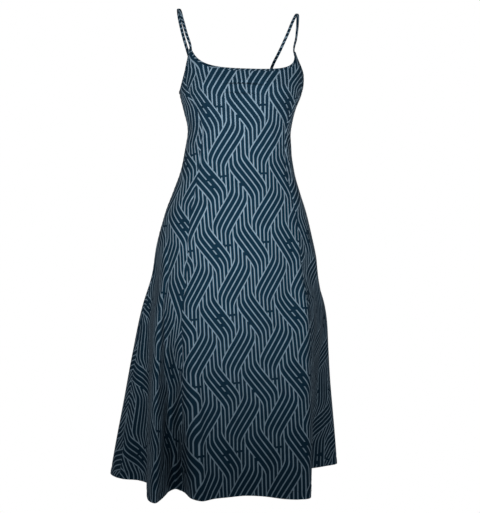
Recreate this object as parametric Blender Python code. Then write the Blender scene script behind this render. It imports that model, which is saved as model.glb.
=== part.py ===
"""A strappy midi sundress with princess seams, hollow and standing as it does when it is worn.

Metres, +Z up. The front faces -Y, and +X is at the right of someone who looks at the front.
The origin lies midway between the tops of the two straps, on the shoulders that carry them,
so the whole dress hangs below it.

Every piece of cloth is a wall on one shared surface. A point of that surface has an angle round
the body, 0 at the centre front and 180 degrees at the centre back, and a height z.
"""

import math

import bpy
import numpy as np

# Driving sizes
HEM_Z = -1.160
CLOTH = 0.0015
BINDING_THICK = 0.0024
BINDING_WIDE = 0.0060
SEAM_GAP = 0.0003
STRAP_WIDE = 0.0080
SWAY = 0.005  # how far the dress hangs to the right of the middle between its straps
STRAP_THICK = 0.0030

# Neckline, armholes and the places where the straps are sewn on
FRONT_JOINT = math.radians(57.0)
BACK_JOINT = math.radians(150.0)
UNDERARM = math.radians(93.0)
FRONT_JOINT_Z = -0.108
BACK_JOINT_Z = -0.150
FRONT_NECK_Z = -0.160
BACK_NECK_Z = -0.168
UNDERARM_Z = -0.200
SCOOP_POWER = 3.2
BACK_SCOOP_POWER = 2.4
ARMHOLE_POWER = 2.2
JOINT_HALF_WIDE = STRAP_WIDE / 2
CHEST_RADIUS = 0.110

# The body of the dress: at each height its half widths to the left and to the right, its depths to
# the front and to the back, and how far its front and back are flattened from an ellipse
SECTIONS = np.array([
    # z, left, right, front, back, flat
    (-0.060, 0.137, 0.138, 0.090, 0.094, 0.085),
    (-0.110, 0.141, 0.141, 0.103, 0.104, 0.080),
    (-0.160, 0.150, 0.157, 0.108, 0.108, 0.060),
    (-0.200, 0.152, 0.155, 0.115, 0.106, 0.040),
    (-0.245, 0.142, 0.139, 0.109, 0.099, 0.024),
    (-0.300, 0.131, 0.128, 0.098, 0.091, 0.022),
    (-0.345, 0.138, 0.129, 0.096, 0.089, 0.022),
    (-0.400, 0.149, 0.136, 0.102, 0.098, 0.022),
    (-0.450, 0.167, 0.150, 0.112, 0.114, 0.022),
    (-0.500, 0.186, 0.166, 0.123, 0.130, 0.022),
    (-0.583, 0.205, 0.185, 0.143, 0.150, 0.022),
    (-0.660, 0.212, 0.202, 0.159, 0.164, 0.022),
    (-0.734, 0.229, 0.226, 0.174, 0.177, 0.022),
    (-0.854, 0.244, 0.243, 0.196, 0.194, 0.022),
    (-0.975, 0.256, 0.257, 0.214, 0.208, 0.022),
    (-1.160, 0.272, 0.278, 0.236, 0.226, 0.022),
])

# The bust is shaped by the princess seams: a soft fullness on each side of the centre front
BUST_X = 0.076
BUST_Z = -0.214
BUST_OUT = 0.013
BUST_WIDE = 0.052
BUST_TALL = 0.050

# The folds of the skirt: where points of the hem lie seen from above, and how high each fold reaches
FOLDS = np.array([
    # angle, x, y, top_z
    (-169.0, -0.066, 0.252, -0.66),
    (-157.0, -0.116, 0.192, -0.72),
    (-146.0, -0.182, 0.246, -0.62),
    (-136.0, -0.222, 0.200, -0.66),
    (-127.0, -0.228, 0.152, -0.70),
    (-118.0, -0.276, 0.178, -0.60),
    (-109.0, -0.308, 0.106, -0.50),
    (-101.5, -0.318, 0.042, -0.50),
    (-95.0, -0.292, -0.008, -0.54),
    (-89.0, -0.253, -0.030, -0.58),
    (-84.0, -0.238, -0.072, -0.60),
    (-79.5, -0.248, -0.170, -0.58),
    (-75.0, -0.252, -0.238, -0.56),
    (-71.0, -0.241, -0.270, -0.56),
    (-66.5, -0.226, -0.252, -0.58),
    (-61.0, -0.202, -0.178, -0.64),
    (-55.0, -0.179, -0.138, -0.72),
    (-50.0, -0.166, -0.162, -0.74),
    (-44.0, -0.155, -0.236, -0.72),
    (-37.0, -0.135, -0.270, -0.70),
    (-29.0, -0.106, -0.253, -0.74),
    (-17.0, -0.066, -0.242, -0.80),
    (-5.0, -0.026, -0.234, -0.86),
    (8.0, 0.014, -0.250, -0.82),
    (20.0, 0.050, -0.280, -0.72),
    (31.0, 0.087, -0.291, -0.62),
    (41.0, 0.115, -0.275, -0.54),
    (49.0, 0.134, -0.196, -0.54),
    (60.0, 0.142, -0.082, -0.60),
    (72.0, 0.180, 0.026, -0.62),
    (81.0, 0.228, 0.056, -0.56),
    (91.0, 0.274, 0.086, -0.50),
    (101.0, 0.276, 0.150, -0.56),
    (113.0, 0.212, 0.154, -0.68),
    (125.0, 0.206, 0.212, -0.64),
    (135.0, 0.166, 0.246, -0.60),
    (147.0, 0.106, 0.192, -0.72),
    (160.0, 0.058, 0.250, -0.66),
    (176.0, -0.006, 0.204, -0.74),
])
FOLD_POWER = 1.12

# The seams between the six panels, as angles at a few heights, the same on both sides.
# The first angle of each is where it meets the top edge.
SEAM_Z = np.array([-0.200, -0.225, -0.260, -0.310, -0.380, -0.470, -0.600, -0.800, HEM_Z])
SEAM_ANGLES = {
    "front": np.radians([70.0, 61.0, 55.0, 50.5, 48.0, 45.0, 42.8, 43.4, 50.0]),
    "side": np.radians([94.0, 94.5, 95.0, 95.5, 96.0, 97.0, 98.0, 98.0, 97.0]),
    "back": np.radians([112.0, 122.0, 131.0, 137.0, 139.0, 140.0, 140.0, 140.0, 140.0]),
}

# The heights of the rings that all panels share. Above the first one the rings follow the top edge.
RING_Z = np.array([
    -0.225, -0.262, -0.300, -0.340, -0.390, -0.450, -0.520, -0.600, -0.690, -0.780,
    -0.870, -0.960, -1.060, HEM_Z,
])
EDGE_RINGS = 3

# The panels, each between two seams. A seam's side is -1 or 1, and columns are counted across it.
PANELS = {
    # name: (left side, left seam, right side, right seam, columns)
    "panel_front_centre": (-1, "front", 1, "front", 27),
    "panel_front_side_right": (1, "front", 1, "side", 17),
    "panel_front_side_left": (-1, "side", -1, "front", 19),
    "panel_back_side_right": (1, "side", 1, "back", 15),
    "panel_back_side_left": (-1, "back", -1, "side", 15),
    "panel_back_centre": (1, "back", -1, "back", 25),
}
STRAP_RINGS = 26
STRAP_SIDES = 8

COTTON = {"colour": (0.020, 0.060, 0.110), "roughness": 0.85}
BINDING = {"colour": (0.018, 0.050, 0.085), "roughness": 0.80}


def cubic(at, places, values):
    """A smooth curve through values at the places, read at other places."""
    slopes = np.gradient(values, places)
    i = np.clip(np.searchsorted(places, at) - 1, 0, len(places) - 2)
    step = places[i + 1] - places[i]
    t = np.clip((at - places[i]) / step, 0.0, 1.0)
    start = (1 + 2 * t) * (1 - t) ** 2 * values[i] + t * (1 - t) ** 2 * step * slopes[i]
    end = t * t * (3 - 2 * t) * values[i + 1] + t * t * (t - 1) * step * slopes[i + 1]
    return start + end


def section(z):
    """Left and right half width, front and back depth, and flatness of the body at height z."""
    rising = SECTIONS[::-1]
    return [cubic(z, rising[:, 0], rising[:, k]) for k in range(1, 6)]


def body_point(angle, z):
    """A point of the dress with no folds in its skirt."""
    left, right, front, back, flat = section(z)
    across = (np.sin(angle) + flat * np.sin(3 * angle)) / (1 - flat)
    ahead = (np.cos(angle) - flat * np.cos(3 * angle)) / (1 - flat)
    x = np.where(across > 0, right, left) * across
    y = -np.where(ahead > 0, front, back) * ahead
    for side in (-1, 1):
        near = ((x - side * BUST_X) / BUST_WIDE) ** 2 + ((z - BUST_Z) / BUST_TALL) ** 2
        y = y - np.where(ahead > 0, BUST_OUT * np.exp(-near), 0.0)
    return x, y


def around(angle, column):
    """A column of the fold table as a smooth closed curve round the hem."""
    turn = np.concatenate([FOLDS[:, 0] - 360, FOLDS[:, 0], FOLDS[:, 0] + 360])
    return cubic(np.degrees(angle), turn, np.tile(FOLDS[:, column], 3))


def surface(angle, z):
    """Points of the middle of the cloth: the body, drawn out to the folds towards the hem."""
    angle, z = np.broadcast_arrays(np.asarray(angle, float), np.asarray(z, float))
    x, y = body_point(angle, z)
    hem_x, hem_y = body_point(angle, np.full_like(z, HEM_Z))
    top = around(angle, 3)
    share = np.clip((top - z) / (top - HEM_Z), 0.0, 1.0) ** FOLD_POWER
    x = x + share * (around(angle, 1) - hem_x)
    y = y + share * (around(angle, 2) - hem_y)
    x = x + SWAY * np.clip((FRONT_JOINT_Z - z) / 0.05, 0.0, 1.0)
    return np.stack([x, y, z], axis=-1)


def normals(angle, z):
    """Outward normals of the surface."""
    step = 1e-4
    turn = surface(angle + step, z) - surface(angle - step, z)
    rise = surface(angle, z + step) - surface(angle, z - step)
    out = np.cross(turn, rise)
    return out / np.linalg.norm(out, axis=-1, keepdims=True)


def edge_z(angle):
    """Height of the top edge of the finished dress: neckline, armholes and the straps' joints."""
    angle = np.abs((np.asarray(angle, float) + math.pi) % (2 * math.pi) - math.pi)
    flat = JOINT_HALF_WIDE / CHEST_RADIUS
    neck = np.clip(angle / (FRONT_JOINT - flat), 0, 1) ** SCOOP_POWER
    back = np.clip((math.pi - angle) / (math.pi - BACK_JOINT - flat), 0, 1) ** BACK_SCOOP_POWER
    fore = np.clip((UNDERARM - angle) / (UNDERARM - FRONT_JOINT - flat), 0, 1) ** ARMHOLE_POWER
    hind = np.clip((angle - UNDERARM) / (BACK_JOINT - flat - UNDERARM), 0, 1) ** ARMHOLE_POWER
    return np.select(
        [angle <= FRONT_JOINT, angle <= UNDERARM, angle <= BACK_JOINT],
        [
            FRONT_NECK_Z + (FRONT_JOINT_Z - FRONT_NECK_Z) * neck,
            UNDERARM_Z + (FRONT_JOINT_Z - UNDERARM_Z) * fore,
            UNDERARM_Z + (BACK_JOINT_Z - UNDERARM_Z) * hind,
        ],
        BACK_NECK_Z + (BACK_JOINT_Z - BACK_NECK_Z) * back,
    )


def below_edge_z(angle, wide):
    """Height of the curve that runs a given width below the top edge, measured square to it."""
    aside = np.linspace(-wide, wide, 41)
    drop = np.sqrt(wide ** 2 - aside ** 2)
    angle = np.asarray(angle, float)[..., None]
    return (edge_z(angle + aside / CHEST_RADIUS) - drop).min(axis=-1)


def seam(name, z):
    """The angle of a seam at height z."""
    return cubic(z, SEAM_Z[::-1], SEAM_ANGLES[name][::-1])


def pulled_in(points, gap):
    """The grid with its outer columns and rows drawn in by half a seam's gap, square to the seam."""
    points = points.copy()
    for edge, inner in ((0, 1), (-1, -2)):
        for line, beside in (
            (points[:, edge], points[:, inner]),
            (points[edge], points[inner]),
        ):
            along = np.gradient(line, axis=0)
            along /= np.linalg.norm(along, axis=-1, keepdims=True)
            way = beside - line
            way -= along * (way * along).sum(axis=-1, keepdims=True)
            line += way / np.linalg.norm(way, axis=-1, keepdims=True) * gap / 2
    return points


def wall(name, angle, z, thick, finish):
    """A closed solid: the surface at a grid of angles and heights, thickened to both sides.

    Rows run from the top down, and columns by rising angle. The narrow faces of the rim are split
    the same way on both sides of a seam, so that they stay parallel."""
    middle = pulled_in(surface(angle, z), SEAM_GAP)
    out = normals(angle, z) * thick / 2
    rows, columns = angle.shape
    points = np.concatenate([(middle + out).reshape(-1, 3), (middle - out).reshape(-1, 3)])
    outer = np.arange(rows * columns).reshape(rows, columns)
    inner = outer + rows * columns
    faces = []
    for i in range(rows - 1):
        for j in range(columns - 1):
            faces.append((outer[i, j], outer[i + 1, j], outer[i + 1, j + 1], outer[i, j + 1]))
            faces.append((inner[i, j], inner[i, j + 1], inner[i + 1, j + 1], inner[i + 1, j]))
    rim = [(i, 0) for i in range(rows - 1)]
    rim += [(rows - 1, j) for j in range(columns - 1)]
    rim += [(i, columns - 1) for i in range(rows - 1, 0, -1)]
    rim += [(0, j) for j in range(columns - 1, 0, -1)]
    for a, b in zip(rim, rim[1:] + rim[:1]):
        if a < b:
            faces.append((outer[a], inner[a], inner[b]))
            faces.append((outer[a], inner[b], outer[b]))
        else:
            faces.append((outer[a], inner[a], outer[b]))
            faces.append((inner[a], inner[b], outer[b]))
    return solid(name, points, faces, finish)


def solid(name, points, faces, finish):
    """A mesh object with its own material."""
    mesh = bpy.data.meshes.new(name)
    mesh.from_pydata([tuple(p) for p in points], [], [tuple(int(i) for i in f) for f in faces])
    mesh.shade_smooth()
    mesh.set_sharp_from_angle(angle=math.radians(40))
    material = bpy.data.materials.new(name)
    material.use_nodes = True
    shader = material.node_tree.nodes["Principled BSDF"]
    shader.inputs["Base Color"].default_value = (*finish["colour"], 1)
    shader.inputs["Roughness"].default_value = finish["roughness"]
    shader.inputs["Metallic"].default_value = 0.0
    mesh.materials.append(material)
    obj = bpy.data.objects.new(name, mesh)
    bpy.context.scene.collection.objects.link(obj)
    return obj


def shares(name):
    """Places of a panel's columns, from 0 at its left seam to 1 at its right.

    In the centre panels, columns lie where the straps' joints begin and end."""
    *_, kind, columns = PANELS[name]
    places = np.linspace(0, 1, columns)
    if "centre" in name:
        middle, joint = (0.0, FRONT_JOINT) if kind == "front" else (math.pi, BACK_JOINT)
        flat = JOINT_HALF_WIDE / CHEST_RADIUS
        reach = abs(SEAM_ANGLES[kind][0] - middle)
        for mark in (joint - flat, joint + flat):
            aside = abs(mark - middle) / reach / 2
            for place in (0.5 - aside, 0.5 + aside):
                places[1 + np.argmin(np.abs(places[1:-1] - place))] = place
    return places


def columns_at(name, z):
    """Angles of a panel's columns at height z."""
    left_side, left_kind, right_side, right_kind, _ = PANELS[name]
    left = left_side * seam(left_kind, z)
    right = right_side * seam(right_kind, z)
    if right < left:
        right += 2 * math.pi
    return left + (right - left) * shares(name)


def panel(name):
    """One cut panel between two seams, from the binding of the top edge down to the hem."""
    top_angles = columns_at(name, SEAM_Z[0])
    ring_angles = columns_at(name, RING_Z[0])
    top_z = below_edge_z(top_angles, BINDING_WIDE)
    rows = []
    for k in range(EDGE_RINGS):
        down = k / EDGE_RINGS
        rows.append((top_angles + (ring_angles - top_angles) * down, top_z + (RING_Z[0] - top_z) * down))
    for z in RING_Z:
        rows.append((columns_at(name, z), np.full(len(top_z), z)))
    angle = np.array([row[0] for row in rows])
    height = np.array([row[1] for row in rows])
    return wall(name, angle, height, CLOTH, COTTON)


def binding(name, start, end):
    """The bias strip that finishes a stretch of the top edge. It has the panels' columns."""
    columns = np.concatenate([columns_at(panel_name, SEAM_Z[0]) for panel_name in PANELS])
    columns = np.concatenate([columns - 2 * math.pi, columns, columns + 2 * math.pi])
    inside = columns[(columns > start + 0.01) & (columns < end - 0.01)]
    angle = np.unique(np.round(np.concatenate([[start], inside, [end]]), 6))
    edges = np.array([edge_z(angle), below_edge_z(angle, BINDING_WIDE - SEAM_GAP)])
    return wall(name, np.array([angle, angle]), edges, BINDING_THICK, BINDING)


def strap_line(side):
    """Points of a strap's middle, from its front joint over the shoulder to its back joint."""
    front = surface(side * FRONT_JOINT, FRONT_JOINT_Z)
    back = surface(side * BACK_JOINT, BACK_JOINT_Z)
    rise = STRAP_THICK / 2
    route = np.array([
        front,
        (side * 0.1372, -0.054, -0.070),
        (side * 0.1450, -0.035, -0.030),
        (side * 0.1492, -0.018, rise - 0.006),
        (side * 0.1505, 0.000, rise),
        (side * 0.1475, 0.020, rise - 0.009),
        (side * 0.1370, 0.044, -0.040),
        (side * 0.1215, 0.068, -0.080),
        (side * 0.1060, 0.087, -0.116),
        back,
    ])
    along = np.concatenate([[0], np.cumsum(np.linalg.norm(np.diff(route, axis=0), axis=1))])
    at = np.linspace(0, along[-1], STRAP_RINGS)
    return np.stack([cubic(at, along, route[:, k]) for k in range(3)], axis=1)


def strap(name, side):
    """A flat tube that lies on the chest at one end, on the shoulder, and on the back at the other."""
    line = strap_line(side)
    tangent = np.gradient(line, axis=0)
    tangent /= np.linalg.norm(tangent, axis=1, keepdims=True)
    share = np.linspace(0, 1, STRAP_RINGS)
    ends = [surface(side * joint + 0.01, z) - surface(side * joint - 0.01, z)
            for joint, z in ((FRONT_JOINT, FRONT_JOINT_Z), (BACK_JOINT, BACK_JOINT_Z))]
    flat_ways = [ends[0] * side, np.array([1.0, 0, 0]) * side, -ends[1] * side]
    flat_ways = np.array([way / np.linalg.norm(way) * side for way in flat_ways])
    thirds = np.array([0.0, 0.5, 1.0])
    across = np.stack([cubic(share, thirds, flat_ways[:, k]) for k in range(3)], axis=1)
    across -= tangent * (across * tangent).sum(axis=1, keepdims=True)
    across /= np.linalg.norm(across, axis=1, keepdims=True)
    out = np.cross(tangent, across)
    points, faces = [], []
    for i in range(STRAP_RINGS):
        for k in range(STRAP_SIDES):
            turn = 2 * math.pi * (k + 0.5) / STRAP_SIDES
            wide = math.copysign(abs(math.cos(turn)) ** 0.7, math.cos(turn)) * STRAP_WIDE / 2
            thick = math.copysign(abs(math.sin(turn)) ** 0.7, math.sin(turn)) * STRAP_THICK / 2
            points.append(line[i] + across[i] * wide + out[i] * thick)
    points = np.array(points).reshape(STRAP_RINGS, STRAP_SIDES, 3)
    points[0, :, 2] = FRONT_JOINT_Z + SEAM_GAP
    points[-1, :, 2] = BACK_JOINT_Z + SEAM_GAP
    for i in range(STRAP_RINGS - 1):
        for k in range(STRAP_SIDES):
            a, b = i * STRAP_SIDES + k, i * STRAP_SIDES + (k + 1) % STRAP_SIDES
            faces.append((a, b, b + STRAP_SIDES, a + STRAP_SIDES))
    last = (STRAP_RINGS - 1) * STRAP_SIDES
    faces.append(tuple(range(STRAP_SIDES))[::-1])
    faces.append(tuple(last + k for k in range(STRAP_SIDES)))
    return solid(name, points.reshape(-1, 3), faces, BINDING)


def main():
    for obj in list(bpy.data.objects):
        bpy.data.objects.remove(obj)
    for name in PANELS:
        panel(name)
    binding("binding_neck_front", -FRONT_JOINT, FRONT_JOINT)
    binding("binding_neck_back", BACK_JOINT, 2 * math.pi - BACK_JOINT)
    binding("binding_armhole_right", FRONT_JOINT, BACK_JOINT)
    binding("binding_armhole_left", -BACK_JOINT, -FRONT_JOINT)
    strap("strap_right", 1)
    strap("strap_left", -1)


main()
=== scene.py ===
# %% [markdown]
# # A printed cotton sundress
#
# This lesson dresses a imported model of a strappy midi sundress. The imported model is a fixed
# frame: twelve plain walls of cloth that show where every cut piece lies. Here each wall is
# replaced by a finely shaped piece with its seams, its binding, its stitches and its print.

# %% Load the frame
import math

import bpy
import numpy as np
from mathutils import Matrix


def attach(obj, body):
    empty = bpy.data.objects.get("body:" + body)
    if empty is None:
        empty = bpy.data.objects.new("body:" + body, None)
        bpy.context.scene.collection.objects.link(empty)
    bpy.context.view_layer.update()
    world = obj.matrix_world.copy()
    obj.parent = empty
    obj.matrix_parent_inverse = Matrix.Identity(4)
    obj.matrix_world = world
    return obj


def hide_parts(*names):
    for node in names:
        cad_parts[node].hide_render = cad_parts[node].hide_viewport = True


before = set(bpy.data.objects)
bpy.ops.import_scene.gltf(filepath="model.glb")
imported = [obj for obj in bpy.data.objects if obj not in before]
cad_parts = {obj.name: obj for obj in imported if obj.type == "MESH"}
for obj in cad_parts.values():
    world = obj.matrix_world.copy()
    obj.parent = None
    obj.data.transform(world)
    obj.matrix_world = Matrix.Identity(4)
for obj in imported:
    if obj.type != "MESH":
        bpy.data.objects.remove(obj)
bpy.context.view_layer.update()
print("pieces in the frame:", len(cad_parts))

# %% [markdown]
# ## The studio
#
# The photograph was taken level with the hips, from about two and a half metres and a little to
# the left of the middle. A long lens keeps the dress from looking wide at its nearest fold.
# The light comes from all round a white studio, with one soft box in front. It is brightest
# from the chest to the waist, so the skirt falls away into shade towards the hem. A second soft
# box stands behind.

# %% Camera
SWAY = 0.005
CAMERA_TURN = math.radians(-10.0)
CAMERA_AWAY = 2.6
CAMERA_HEIGHT = -0.613

scene = bpy.context.scene
camera_data = bpy.data.cameras.new("camera")
camera_data.lens = 72.6
camera_data.sensor_width = 36.0
camera = bpy.data.objects.new("camera", camera_data)
camera.location = (
    SWAY + CAMERA_AWAY * math.sin(CAMERA_TURN),
    -CAMERA_AWAY * math.cos(CAMERA_TURN),
    CAMERA_HEIGHT,
)
camera.rotation_euler = (math.pi / 2, 0.0, CAMERA_TURN)
scene.collection.objects.link(camera)
scene.camera = camera
scene.view_settings.view_transform = "Standard"
scene.view_settings.look = "None"
print("camera at", [round(v, 3) for v in camera.location])


# %% Light
LAMPS = {
    # name: (place, aim, size, power in watts, spread in degrees)
    "front soft box": ((-0.34, -1.50, -0.72), (0.0, -0.10, -0.31), 0.50, 3.75, 60.0),
    "rear soft box": ((0.50, 1.60, -0.25), (0.0, 0.10, -0.55), 0.70, 4.0, 70.0),
}
STUDIO_WHITE = (0.98, 0.985, 1.0, 1.0)
STUDIO_LIGHT = 0.30


def soft_lamp(name, place, aim, size, power, spread):
    """A square soft box at a place, turned to a point, with a grid that narrows its beam."""
    data = bpy.data.lights.new(name, "AREA")
    data.shape = "SQUARE"
    data.size = size
    data.energy = power
    data.spread = math.radians(spread)
    lamp = bpy.data.objects.new(name, data)
    lamp.location = place
    way = np.array(aim, float) - np.array(place, float)
    flat = math.hypot(way[0], way[1])
    lamp.rotation_euler = (math.atan2(flat, -way[2]), 0.0, math.atan2(-way[0], way[1]))
    scene.collection.objects.link(lamp)


for name, settings in LAMPS.items():
    soft_lamp(name, *settings)

world = bpy.data.worlds.new("studio")
world.use_nodes = True
background = world.node_tree.nodes["Background"]
background.inputs["Color"].default_value = STUDIO_WHITE
background.inputs["Strength"].default_value = STUDIO_LIGHT
scene.world = world
print("lamps:", list(LAMPS))

# %% [markdown]
# ## Writing a material as a formula
#
# A print is easier to read as a formula than as a web of nodes. The small class below stands
# for a number that changes over the cloth, and a sum or a comparison on it adds a Math node.
# Every other node comes from one function, which sets a node's settings first and its sockets
# after that. The stitches further down use the same function for their Geometry Nodes.


# %% Numbers that vary over the cloth
class Number:
    """A number that varies over the cloth. Arithmetic on it adds Math nodes."""

    def __init__(self, shader, socket):
        self.shader, self.socket = shader, socket

    def math(self, operation, *others, clamp=False):
        values = dict(enumerate((self,) + others))
        node = self.shader.node("ShaderNodeMath", {"operation": operation, "use_clamp": clamp}, values)
        return Number(self.shader, node.outputs[0])

    def swapped(self, operation, other):
        node = self.shader.node("ShaderNodeMath", {"operation": operation}, {0: other, 1: self})
        return Number(self.shader, node.outputs[0])

    def __add__(self, other):
        return self.math("ADD", other)

    __radd__ = __add__

    def __sub__(self, other):
        return self.math("SUBTRACT", other)

    def __rsub__(self, other):
        return self.swapped("SUBTRACT", other)

    def __mul__(self, other):
        return self.math("MULTIPLY", other)

    __rmul__ = __mul__

    def __truediv__(self, other):
        return self.math("DIVIDE", other)

    def __abs__(self):
        return self.math("ABSOLUTE")

    def __lt__(self, other):
        return self.math("LESS_THAN", other)

    def __gt__(self, other):
        return self.math("GREATER_THAN", other)

    def nearest(self):
        return (self + 0.5).math("FLOOR")

    def odd(self):
        half = self * 0.5
        return (half - half.math("FLOOR")) * 2.0

    def between(self, low, high):
        return self.math("MAXIMUM", low).math("MINIMUM", high)

    def clamped(self):
        return self.math("ADD", 0.0, clamp=True)

    def sine(self):
        return self.math("SINE")


def add_node(tree, kind, settings=None, values=None):
    """A node with its settings and its sockets. A socket takes a value or another's output."""
    made = tree.nodes.new(kind)
    for name, value in (settings or {}).items():
        setattr(made, name, value)
    for key, value in (values or {}).items():
        socket = made.inputs[key] if isinstance(key, int) else next(
            s for s in made.inputs if key in (s.identifier, s.name) and s.enabled)
        if isinstance(value, Number):
            value = value.socket
        if isinstance(value, bpy.types.NodeSocket):
            tree.links.new(value, socket)
        else:
            socket.default_value = value
    return made


class Shader:
    """A new material, written by a maker of formulas."""

    def __init__(self, name):
        self.material = bpy.data.materials.new(name)
        self.material.use_nodes = True
        self.tree = self.material.node_tree
        self.tree.nodes.clear()

    def node(self, kind, settings=None, values=None):
        return add_node(self.tree, kind, settings, values)

    def number(self, socket):
        return Number(self, socket)

    def mixed(self, share, first, second, blend="MIX"):
        """One colour mixed into another."""
        node = self.node("ShaderNodeMix", {"data_type": "RGBA", "blend_type": blend},
                         {"Factor_Float": share, "A_Color": first, "B_Color": second})
        return next(s for s in node.outputs if s.identifier == "Result_Color")

    def noise(self, place, scale, detail=2.0):
        node = self.node("ShaderNodeTexNoise", {"noise_dimensions": "3D"},
                         {"Vector": place, "Scale": scale, "Detail": detail, "Roughness": 0.5})
        return self.number(node.outputs[0])

    def bump(self, height, depth, strength=0.30):
        """Normals of fine relief, a given depth in metres."""
        node = self.node("ShaderNodeBump", None, {
            "Strength": strength, "Distance": depth, "Height": height})
        return node.outputs[0]

    def finished(self, values):
        """The material, with one Principled surface."""
        surface = self.node("ShaderNodeBsdfPrincipled", None, values)
        self.node("ShaderNodeOutputMaterial", None, {"Surface": surface.outputs[0]})
        return self.material


print("a formula adds nodes through", Number.math.__qualname__, "and", Shader.node.__qualname__)

# %% [markdown]
# ## The print
#
# The cloth is printed with a plaited wave: slanting ribbons of five pale lines on a dark blue
# ground. A row of ribbons that rise to the right lies between two rows that rise to the left,
# and each ribbon's ends run straight and pass behind the ribbons of the next rows. It is a
# common repeat, so a formula draws it from a few sizes: the width and height of the repeat,
# how far a ribbon shifts sideways, the step between its lines, and how much lower each line
# bends than its neighbour. Some ribbons have short breaks in their lines, as a stencil leaves.
# The right-rising ones have a notch across two lines near their foot.
# The print lies in each piece's own flat cut, in metres, so it bends with the cloth and jumps
# at the seams as real cloth does.

# %% The plaited wave
REPEAT_WIDE = 0.0885
REPEAT_TALL = 0.1630
REPEAT = np.array([REPEAT_WIDE, REPEAT_TALL])
RIBBON_REACH = 0.252 * REPEAT_WIDE
RIBBON_RUN = 0.265 * REPEAT_TALL
LINE_STEP = 0.102 * REPEAT_WIDE
BEND_STEP = 0.045 * REPEAT_TALL
LINE_WIDE = 0.0026
INK_SOFT = 0.0008
BEND_START = 1.25
LINES = (-2, -1, 0, 1, 2)

BREAKS = [
    # line, place down the ribbon, half length, in every other left-rising ribbon or in the rest
    (-1, -0.048, 0.028, True),
    (0, -0.008, 0.015, True),
    (0, 0.098, 0.025, True),
    (2, 0.110, 0.026, False),
]
NOTCH_DOWN = 0.465 * REPEAT_TALL
NOTCH_HALF = 0.016 * REPEAT_TALL


def bend(down):
    """How far along its sideways shift a line is, from -1 to 1, and how steeply it shifts."""
    t = (down / RIBBON_RUN).between(-1.0, 1.0)
    fourth = t * t * t * t
    return t * (BEND_START - (BEND_START - 1.0) * fourth), (1.0 - fourth) * BEND_START


def ribbon(x, y, row):
    """How much pale ink a row of ribbons puts at a place, and whether one of them covers it."""
    odd = row.odd()
    way = 1.0 - 2.0 * odd
    down = y - row * (REPEAT_TALL / 2)
    across = (x - row * (REPEAT_WIDE / 2)) * way
    column = ((across + bend(down)[0] * RIBBON_REACH) / REPEAT_WIDE).nearest()
    aside = across - column * REPEAT_WIDE
    broken_ribbon = odd * (column + (row + 1.0) * 0.5).odd()
    notch = (1.0 - odd) * (abs(down - NOTCH_DOWN) < NOTCH_HALF)
    ink, ends = None, {}
    for line in LINES:
        shift, slope = bend(down - line * BEND_STEP)
        place = line * LINE_STEP - shift * RIBBON_REACH
        lean = slope * (RIBBON_REACH / RIBBON_RUN)
        half = (1.0 + lean * lean).math("SQRT") * (LINE_WIDE / 2)
        drawn = ((half - abs(aside - place)) / INK_SOFT + 0.5).clamped()
        ends[line] = place + half if line > 0 else place - half
        for of_line, at, reach, in_broken in BREAKS:
            if of_line == line:
                gap = abs(down - at * REPEAT_TALL) < reach * REPEAT_TALL
                these = broken_ribbon if in_broken else odd - broken_ribbon
                drawn = drawn * (1.0 - these * gap)
        if line > 0:
            drawn = drawn * (1.0 - notch)
        ink = drawn if ink is None else ink.math("MAXIMUM", drawn)
    covers = (aside > ends[-2]) * (aside < ends[2])
    return ink * covers, covers


def plaited_wave(x, y):
    """Pale ink of the whole print: the nearest row lies over the next one on each side."""
    row = (y * (2.0 / REPEAT_TALL)).nearest()
    step = (y - row * (REPEAT_TALL / 2) > 0.0) * 2.0 - 1.0
    ink, hidden = ribbon(x, y, row)
    for other in (row + step, row - step):
        more, covers = ribbon(x, y, other)
        ink = ink + more * (1.0 - hidden)
        hidden = hidden.math("MAXIMUM", covers)
    return ink


print("one repeat is", REPEAT_WIDE, "by", REPEAT_TALL, "m")

# %% [markdown]
# ## The cloth's finish
#
# Printed cotton poplin is matt, with a faint sheen where it turns away from the eye. Its weave
# is about half a millimetre, too fine to see at arm's length, but it breaks up the light. The
# ink doesn't lie quite evenly, and on the wrong side only a shadow of it comes through. All of
# that reads the flat cut, held in a UV map in metres.

# %% Printed cotton
DARK_INK = (0.0050, 0.0220, 0.0410, 1.0)
PALE_INK = (0.2080, 0.2950, 0.3680, 1.0)
WRONG_DARK = (0.0400, 0.0680, 0.0930, 1.0)
WRONG_PALE = (0.1100, 0.1500, 0.1850, 1.0)
THREAD_PITCH = 0.00052
WEAVE_DEPTH = 0.00012
PATCHES = 45.0
SLUBS = 1500.0
SLUB_LONG = 0.06
INK_COVER, INK_PATCHY = 0.90, 0.20
TONE, TONE_PATCHY, TONE_SLUBBY = 0.78, 0.30, 0.28


def darker(colour, share):
    """A share of a colour, opaque."""
    return tuple(share * v for v in colour[:3]) + (1.0,)


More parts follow.
